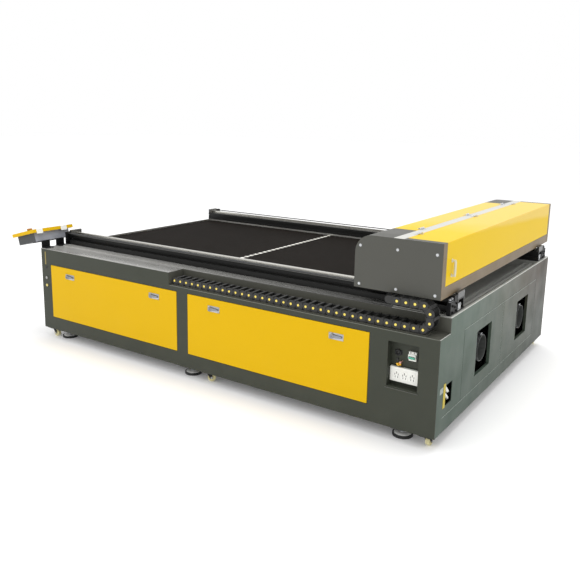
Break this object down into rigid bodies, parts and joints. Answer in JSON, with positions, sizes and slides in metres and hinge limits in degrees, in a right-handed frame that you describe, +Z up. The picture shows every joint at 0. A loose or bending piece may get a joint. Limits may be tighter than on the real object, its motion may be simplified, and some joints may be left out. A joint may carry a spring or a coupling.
{
  "type": "laser marking machine",
  "caption": "Large flat-bed carbon dioxide laser marking machine with a moving gantry, honeycomb bed, energy chain and operator console.",
  "frame": {"origin": "on the floor, in the middle of the machine's outer box", "axes": "+X along the cabinet towards the parked gantry, +Y from the front with the doors to the back, +Z up"},
  "size_m": [3.2858, 2.167, 1.0323],
  "materials": {
    "frame_steel": "satin black paint on welded tube",
    "cabinet_grey": "fine-textured dark grey powder coat",
    "end_grey": "semi-gloss greenish grey powder coat",
    "deck_grey": "satin dark grey powder coat",
    "rail_black": "black anodised",
    "bright_steel": "ground, lightly oiled",
    "black_metal": "black oxide",
    "belt_rubber": "matt black toothed belt",
    "bed_frame": "mill finish",
    "honeycomb": "black anodised honeycomb",
    "zinc": "bright zinc plate",
    "blower_plastic": "moulded",
    "white_plastic": "moulded",
    "black_plastic": "moulded",
    "green_plastic": "moulded",
    "brass_and_hose": "machined brass, white hose tails",
    "button_grey": "moulded",
    "button_amber": "moulded",
    "yellow_coat": "semi-gloss yellow powder coat",
    "chrome": "polished",
    "console_metal": "satin dark grey",
    "panel_plastic": "membrane front",
    "estop_plastic": "moulded",
    "foot_rubber": "black rubber pad on a zinc-plated stem",
    "caster_mix": "cream wheel in a black steel fork",
    "gantry_grey": "satin mid-grey powder coat",
    "laser_glass": "clear glass tube",
    "machined_aluminium": "clear anodised",
    "brass": "machined",
    "chain_plastic": "black nylon"
  },
  "bodies": {
    "cabinet": {"base_frame": "frame_steel", "front_panel": "cabinet_grey", "rear_and_left_panels": "cabinet_grey", "right_end_panels": "end_grey", "deck": "deck_grey", "chain_tray": "cabinet_grey", "rail_beams": "rail_black", "guide_rails": "bright_steel", "belt_tensioners": "black_metal", "drive_belts": "belt_rubber", "bed_rim": "bed_frame", "honeycomb_panels": "honeycomb", "centre_bar": "bed_frame", "waste_chute": "zinc", "electronics_plate": "zinc", "blower_housings": "blower_plastic", "power_recess": "cabinet_grey", "outlets_and_breaker": "white_plastic", "panel_ports": "black_plastic", "hose_fittings": "brass_and_hose", "console_bracket": "black_metal", "console_case": "console_metal", "console_cover": "yellow_coat", "control_panel": "panel_plastic", "levelling_feet": "foot_rubber", "chain_lower_run": "chain_plastic"},
    "gantry": {"gantry_end_plates": "gantry_grey", "gantry_shell": "gantry_grey", "gantry_beam": "machined_aluminium", "bearing_blocks": "bright_steel", "hinge_strip": "gantry_grey", "laser_tube": "laser_glass", "tube_and_mirror_mounts": "machined_aluminium", "drive_motor": "black_metal", "head_drive": "black_metal", "chain_upper_run": "chain_plastic"},
    "chain_bend": {"chain_bend": "chain_plastic"},
    "drive_shaft": {"drive_shaft": "bright_steel"},
    "head": {"head_carriage": "machined_aluminium"},
    "lens_tube": {"lens_tube": "brass"},
    "left_lid": {"left_lid": "yellow_coat"},
    "right_lid": {"right_lid": "yellow_coat"},
    "left_door": {"left_door": "yellow_coat"},
    "right_door": {"right_door": "yellow_coat"},
    "breaker_toggle": {"breaker_toggle": "green_plastic"},
    "estop_button": {"estop_button": "estop_plastic"},
    "post_button_grey": {"post_button_grey": "button_grey"},
    "post_button_amber": {"post_button_amber": "button_amber"},
    "blower_wheel_1": {"blower_wheel_1": "blower_plastic"},
    "blower_wheel_2": {"blower_wheel_2": "blower_plastic"},
    "latch_1": {"latch_1": "chrome"},
    "latch_2": {"latch_2": "chrome"},
    "latch_3": {"latch_3": "chrome"},
    "latch_4": {"latch_4": "chrome"},
    "caster_1": {"caster_1": "caster_mix"},
    "caster_2": {"caster_2": "caster_mix"},
    "caster_3": {"caster_3": "caster_mix"},
    "caster_4": {"caster_4": "caster_mix"},
    "caster_5": {"caster_5": "caster_mix"},
    "caster_6": {"caster_6": "caster_mix"}
  },
  "joints": [
    {"name": "gantry_slide", "type": "slide", "parent": "cabinet", "child": "gantry", "axis": [1, 0, 0], "range_m": [-2.44, 0], "deforming": ["chain_lower_run", "chain_upper_run"]},
    {"name": "chain_bend_slide", "type": "slide", "parent": "gantry", "child": "chain_bend", "axis": [1, 0, 0], "range_m": [0, 1.22], "deforming": ["chain_bend"]},
    {"name": "drive_shaft_spin", "type": "hinge", "parent": "gantry", "child": "drive_shaft", "pos_m": [1.57285, -0.0815, 0.765], "axis": [0, 1, 0], "continuous": true},
    {"name": "head_slide", "type": "slide", "parent": "gantry", "child": "head", "axis": [0, 1, 0], "range_m": [-1.3, 0]},
    {"name": "focus_slide", "type": "slide", "parent": "head", "child": "lens_tube", "axis": [0, 0, 1], "range_m": [-0.005, 0.025]},
    {"name": "left_lid_hinge", "type": "hinge", "parent": "gantry", "child": "left_lid", "pos_m": [1.34235, 0.0185, 1.0273], "axis": [0, 1, 0], "range_deg": [0, 85]},
    {"name": "right_lid_hinge", "type": "hinge", "parent": "gantry", "child": "right_lid", "pos_m": [1.39835, 0.0185, 1.0273], "axis": [0, -1, 0], "range_deg": [0, 85]},
    {"name": "left_door_hinge", "type": "hinge", "parent": "cabinet", "child": "left_door", "pos_m": [-0.65115, -1.0435, 0.169], "axis": [1, 0, 0], "range_deg": [0, 95]},
    {"name": "right_door_hinge", "type": "hinge", "parent": "cabinet", "child": "right_door", "pos_m": [0.65735, -1.0435, 0.169], "axis": [1, 0, 0], "range_deg": [0, 95]},
    {"name": "latch_1_turn", "type": "hinge", "parent": "left_door", "child": "latch_1", "pos_m": [-1.07215, -1.0405, 0.482], "axis": [0, -1, 0], "range_deg": [0, 90]},
    {"name": "latch_2_turn", "type": "hinge", "parent": "left_door", "child": "latch_2", "pos_m": [-0.26015, -1.0405, 0.482], "axis": [0, -1, 0], "range_deg": [0, 90]},
    {"name": "latch_3_turn", "type": "hinge", "parent": "right_door", "child": "latch_3", "pos_m": [0.22785, -1.0405, 0.482], "axis": [0, -1, 0], "range_deg": [0, 90]},
    {"name": "latch_4_turn", "type": "hinge", "parent": "right_door", "child": "latch_4", "pos_m": [1.05685, -1.0405, 0.482], "axis": [0, -1, 0], "range_deg": [0, 90]},
    {"name": "breaker_toggle_tilt", "type": "hinge", "parent": "cabinet", "child": "breaker_toggle", "pos_m": [1.49185, -1.0165, 0.443], "axis": [1, 0, 0], "range_deg": [0, 50]},
    {"name": "estop_press", "type": "slide", "parent": "cabinet", "child": "estop_button", "axis": [0.2504, 0, -0.9681], "range_m": [0, 0.005]},
    {"name": "post_button_grey_press", "type": "slide", "parent": "cabinet", "child": "post_button_grey", "axis": [0, 1, 0], "range_m": [0, 0.0035], "stiffness_N_per_m": 400},
    {"name": "post_button_amber_press", "type": "slide", "parent": "cabinet", "child": "post_button_amber", "axis": [0, 1, 0], "range_m": [0, 0.0035], "stiffness_N_per_m": 400},
    {"name": "caster_1_swivel", "type": "hinge", "parent": "cabinet", "child": "caster_1", "pos_m": [-1.29815, -1.0005, 0.066], "axis": [0, 0, 1], "continuous": true},
    {"name": "caster_2_swivel", "type": "hinge", "parent": "cabinet", "child": "caster_2", "pos_m": [0.17185, -1.0005, 0.066], "axis": [0, 0, 1], "continuous": true},
    {"name": "caster_3_swivel", "type": "hinge", "parent": "cabinet", "child": "caster_3", "pos_m": [1.59185, -1.0005, 0.066], "axis": [0, 0, 1], "continuous": true},
    {"name": "caster_4_swivel", "type": "hinge", "parent": "cabinet", "child": "caster_4", "pos_m": [-1.29815, 0.9435, 0.066], "axis": [0, 0, 1], "continuous": true},
    {"name": "caster_5_swivel", "type": "hinge", "parent": "cabinet", "child": "caster_5", "pos_m": [0.17185, 0.9435, 0.066], "axis": [0, 0, 1], "continuous": true},
    {"name": "caster_6_swivel", "type": "hinge", "parent": "cabinet", "child": "caster_6", "pos_m": [1.59185, 0.9435, 0.066], "axis": [0, 0, 1], "continuous": true},
    {"name": "blower_wheel_1_spin", "type": "hinge", "parent": "cabinet", "child": "blower_wheel_1", "pos_m": [1.50185, -0.3765, 0.35], "axis": [1, 0, 0], "continuous": true},
    {"name": "blower_wheel_2_spin", "type": "hinge", "parent": "cabinet", "child": "blower_wheel_2", "pos_m": [1.50185, 0.3875, 0.35], "axis": [1, 0, 0], "continuous": true}
  ],
  "couplings": [
    {"joint": "chain_bend_slide", "follows": "gantry_slide", "ratio": -0.5},
    {"joint": "drive_shaft_spin", "follows": "gantry_slide", "rad_per_m": 38.462}
  ]
}
